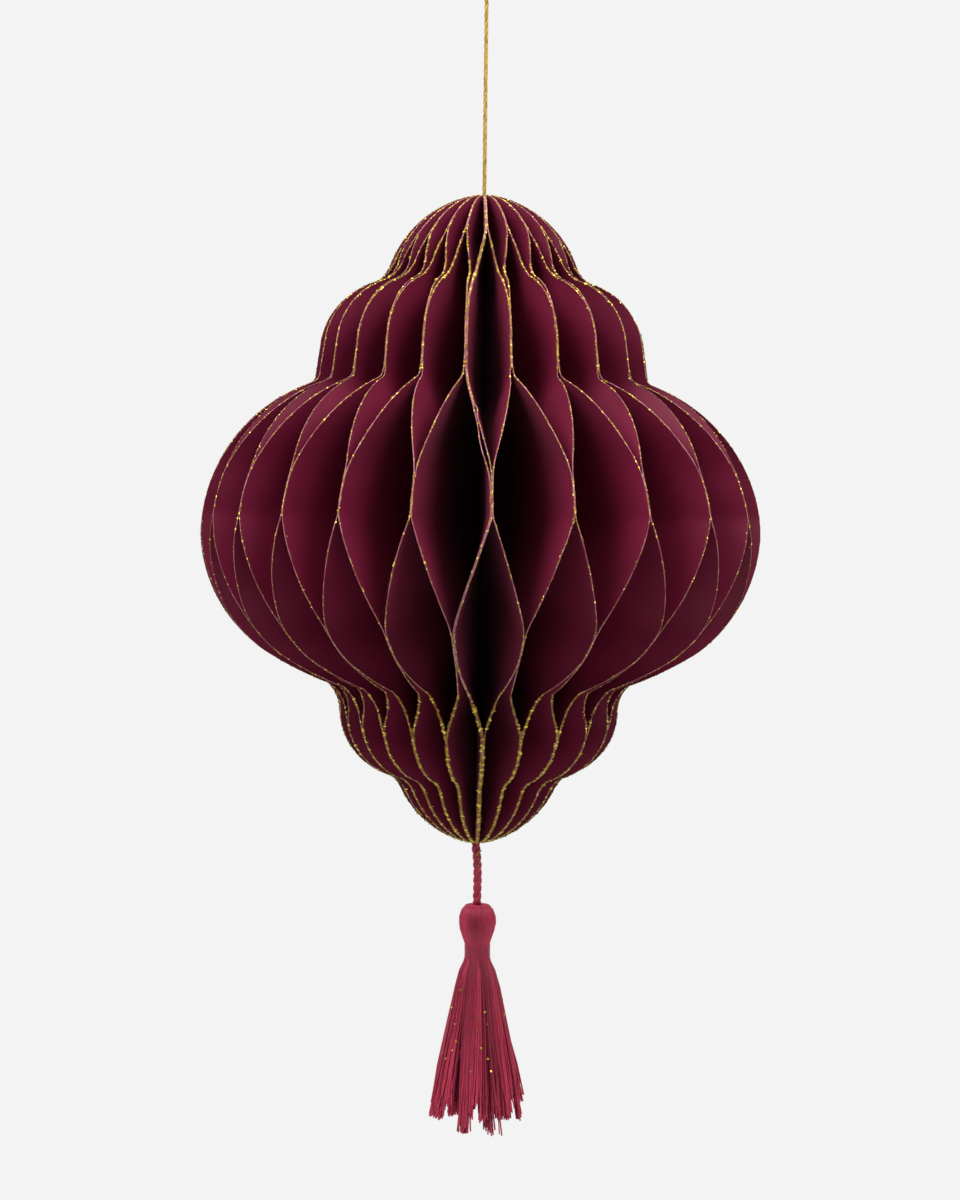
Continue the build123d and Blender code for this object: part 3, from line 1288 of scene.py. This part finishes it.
    def cord_gold(self) -> Piece:
        """Scatters gold specks where the cord leaves the fan.

        Returns:
            The specks as one mesh.
        """
        source = np.random.default_rng(self.seed + 1)
        azimuth = source.uniform(*self.cord_speck_azimuth, self.cord_specks)
        height = self.cord_top - source.uniform(*self.cord_speck_drop, self.cord_specks)
        radius = self.cord_speck_reach * self.cord_diameter
        place = np.stack((radius * np.sin(azimuth), -radius * np.cos(azimuth), height), axis=1)
        return self.specks("cord_gold", place)

    def band(self) -> Piece:
        """Winds thread round the neck.

        Returns:
            The winding.
        """
        steps = self.band_turns * self.band_steps
        angles = np.linspace(0, math.tau * self.band_turns, steps)
        thread = (self.head_base - self.band_base) / self.band_turns
        radius = self.band_radius - thread / 2
        height = np.linspace(self.head_base - thread / 2, self.band_base + thread / 2, steps)
        x, y = radius * np.cos(angles) + self.shift(height), radius * np.sin(angles)
        yarn = Yarn(thread * self.band_overlap, plies=1, pitch=1.0, ply_share=0.5, sides=6, tone=0.4)
        return yarn.twist("neck_winding", np.stack((x, y, height), axis=1))


@dataclass(frozen=True)
class Softbox:
    """A soft light that faces the ornament.

    The azimuth is in degrees from the front towards the right, and the elevation in degrees above the
    ornament's middle.
    """

    name: str
    azimuth: float
    elevation: float
    width: float
    height: float
    watts: float
    distance: float = 1.0

    def hang(self, target: Vector) -> None:
        """Hangs the light so that it faces a point.

        Args:
            target: The point that it faces.
        """
        data = bpy.data.lights.new(self.name, "AREA")
        data.shape = "RECTANGLE"
        data.size = self.width
        data.size_y = self.height
        data.energy = self.watts
        light = add_object(self.name, data)
        turn, rise = math.radians(self.azimuth), math.radians(self.elevation)
        away = Vector((math.sin(turn) * math.cos(rise), -math.cos(turn) * math.cos(rise), math.sin(rise)))
        light.location = target + away * self.distance
        light.rotation_euler = away.to_track_quat("Z", "Y").to_euler()


@dataclass
class Studio:
    """Pale floor, soft lights and the camera."""

    background: float = 0.896
    room_light: float = 0.015
    floor_height: float = -0.5
    floor_size: float = 6.0
    shadow_reach: float = 0.62
    shadow_share: float = 0.35
    shadow_tone: float = 0.58
    softboxes: tuple[Softbox, ...] = (
        Softbox("overhead_softbox", 0, 60, 0.9, 0.25, 2.0),
        Softbox("left_key_softbox", -45, 50, 0.3, 0.4, 5.4),
        Softbox("right_key_softbox", 43, 50, 0.3, 0.4, 4.6),
        Softbox("left_softbox", -67, 42, 0.4, 0.5, 6.0),
        Softbox("right_softbox", 65, 42, 0.4, 0.5, 5.2),
        Softbox("left_back_softbox", -135, 30, 1.0, 1.0, 5.0),
        Softbox("right_back_softbox", 135, 30, 1.0, 1.0, 5.0),
    )
    lens: float = 65.4
    camera_place: Point = (0.0001, -0.4713, -0.13374)
    pitch: float = math.radians(-2.76)
    roll: float = math.radians(0.68)

    def build(self) -> None:
        """Sets up the room, the lights and the camera."""
        self.surroundings()
        self.floor()
        for softbox in self.softboxes:
            softbox.hang((cad_low + cad_high) / 2)
        self.camera()
        bpy.context.scene.view_settings.view_transform = "Standard"

    def surroundings(self) -> None:
        """Makes the world, one pale tone wherever it is looked at."""
        world = bpy.data.worlds.new("studio")
        bpy.context.scene.world = world
        graph = NodeGraph(world)
        graph.nodes.clear()
        light = graph.add("Background", {"Strength": self.room_light})
        shown = graph.add("Background", {"Color": self.grey(self.background)})
        self.mix(graph, light, shown, "OutputWorld")

    def floor(self) -> None:
        """Makes the floor, of the same tone as the world but for the ornament's shadow."""
        select_nothing()
        bpy.ops.mesh.primitive_plane_add(size=self.floor_size, location=(0, 0, self.floor_height))
        floor = bpy.context.object
        floor.name = "floor"
        graph = NodeGraph(bpy.data.materials.new("pale_floor"))
        graph.nodes.clear()
        matte = graph.add("BsdfDiffuse", {"Color": self.grey(self.background)})
        shown = graph.add("Emission", {"Color": self.grey(self.background)})
        shade = graph.add("BsdfDiffuse", {"Color": self.grey(self.shadow_tone)})
        zone = self.shadow_zone(graph)
        shaded = graph.add("MixShader", {0: zone, 1: shown.outputs[0], 2: shade.outputs[0]})
        self.mix(graph, matte, shaded, "OutputMaterial")
        floor.data.materials.append(graph.owner)

    @staticmethod
    def grey(tone: float) -> tuple[float, ...]:
        """Gives a neutral colour."""
        return (tone, tone, tone, 1)

    def shadow_zone(self, graph: NodeGraph) -> Socket:
        """Tells how much of the ornament's shadow shows on the floor, fading out round its foot.

        Args:
            graph: Node tree of the floor's material.

        Returns:
            The share of the shadow at each point.
        """
        fade = graph.add("TexGradient", {"Vector": graph.place((1 / self.shadow_reach,) * 3)})
        fade.gradient_type = "SPHERICAL"
        return graph.math("MULTIPLY", fade.outputs["Fac"], self.shadow_share)

    def mix(self, graph: NodeGraph, lit: bpy.types.Node, shown: bpy.types.Node, output: str) -> None:
        """Shows one shader to the camera and to reflections, and another one to the light.

        Args:
            graph: The node tree.
            lit: Shader that the light meets.
            shown: Shader that is looked at.
            output: Kind of the tree's output node.
        """
        rays = graph.nodes.new("ShaderNodeLightPath").outputs
        seen = graph.math("MAXIMUM", rays["Is Camera Ray"], rays["Is Glossy Ray"])
        seen = graph.math("MAXIMUM", seen, rays["Is Transmission Ray"])
        blend = graph.add("MixShader", {0: seen, 1: lit.outputs[0], 2: shown.outputs[0]})
        graph.add(output, {"Surface": blend.outputs[0]})

    def camera(self) -> None:
        """Sets the camera up in front of the ornament, level with its widest part."""
        data = bpy.data.cameras.new("camera")
        data.lens = self.lens
        camera = add_object("camera", data)
        level = Matrix.Rotation(math.pi / 2 + self.pitch, 4, "X") @ Matrix.Rotation(self.roll, 4, "Z")
        camera.matrix_world = Matrix.Translation(self.camera_place) @ level
        bpy.context.scene.camera = camera


def main() -> None:
    """Builds the studio and the ornament."""
    logging.basicConfig(level=logging.INFO, format="%(name)s: %(message)s")
    Studio().build()
    HangingCord().build()
    FanOfLeaves().build()
    Tassel().build()


if __name__ == "__main__":
    main()
